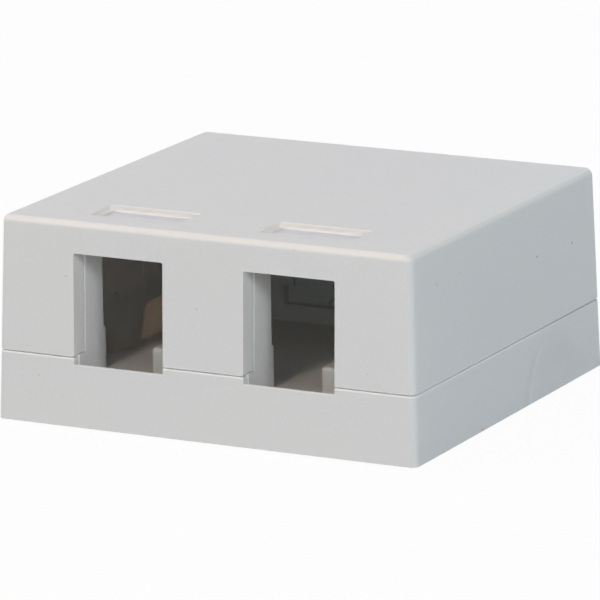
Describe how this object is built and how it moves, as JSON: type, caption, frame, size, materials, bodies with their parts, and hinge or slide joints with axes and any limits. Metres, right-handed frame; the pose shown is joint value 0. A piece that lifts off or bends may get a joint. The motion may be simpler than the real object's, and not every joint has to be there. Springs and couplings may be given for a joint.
{
  "type": "surface mount jack box",
  "caption": "Low white wall box with a drafted base and pull-off cover, open keystone ports at the front and a shallow label recess above each.",
  "frame": {"origin": "on the mounting surface, under the middle of the box's bounding box", "axes": "+Z away from the mounting surface, the ports face -Y, +X to the right seen from above with the ports towards the viewer"},
  "size_m": [0.0698, 0.0666, 0.0318],
  "materials": {
    "base_plastic": "fine satin moulded white plastic",
    "cover_plastic": "fine satin moulded white plastic with smoother label recesses",
    "strip_foam": "closed-cell adhesive foam",
    "liner_paper": "waxed release paper"
  },
  "bodies": {
    "base_body": {"base": "base_plastic", "foam_strip_left": "strip_foam", "foam_strip_right": "strip_foam", "strip_liner_left": "liner_paper", "strip_liner_right": "liner_paper"},
    "cover_body": {"cover": "cover_plastic"}
  },
  "joints": [
    {"name": "cover_lift", "type": "slide", "parent": "base_body", "child": "cover_body", "axis": [0, 0, 1], "range_m": [0, 0.026]}
  ]
}
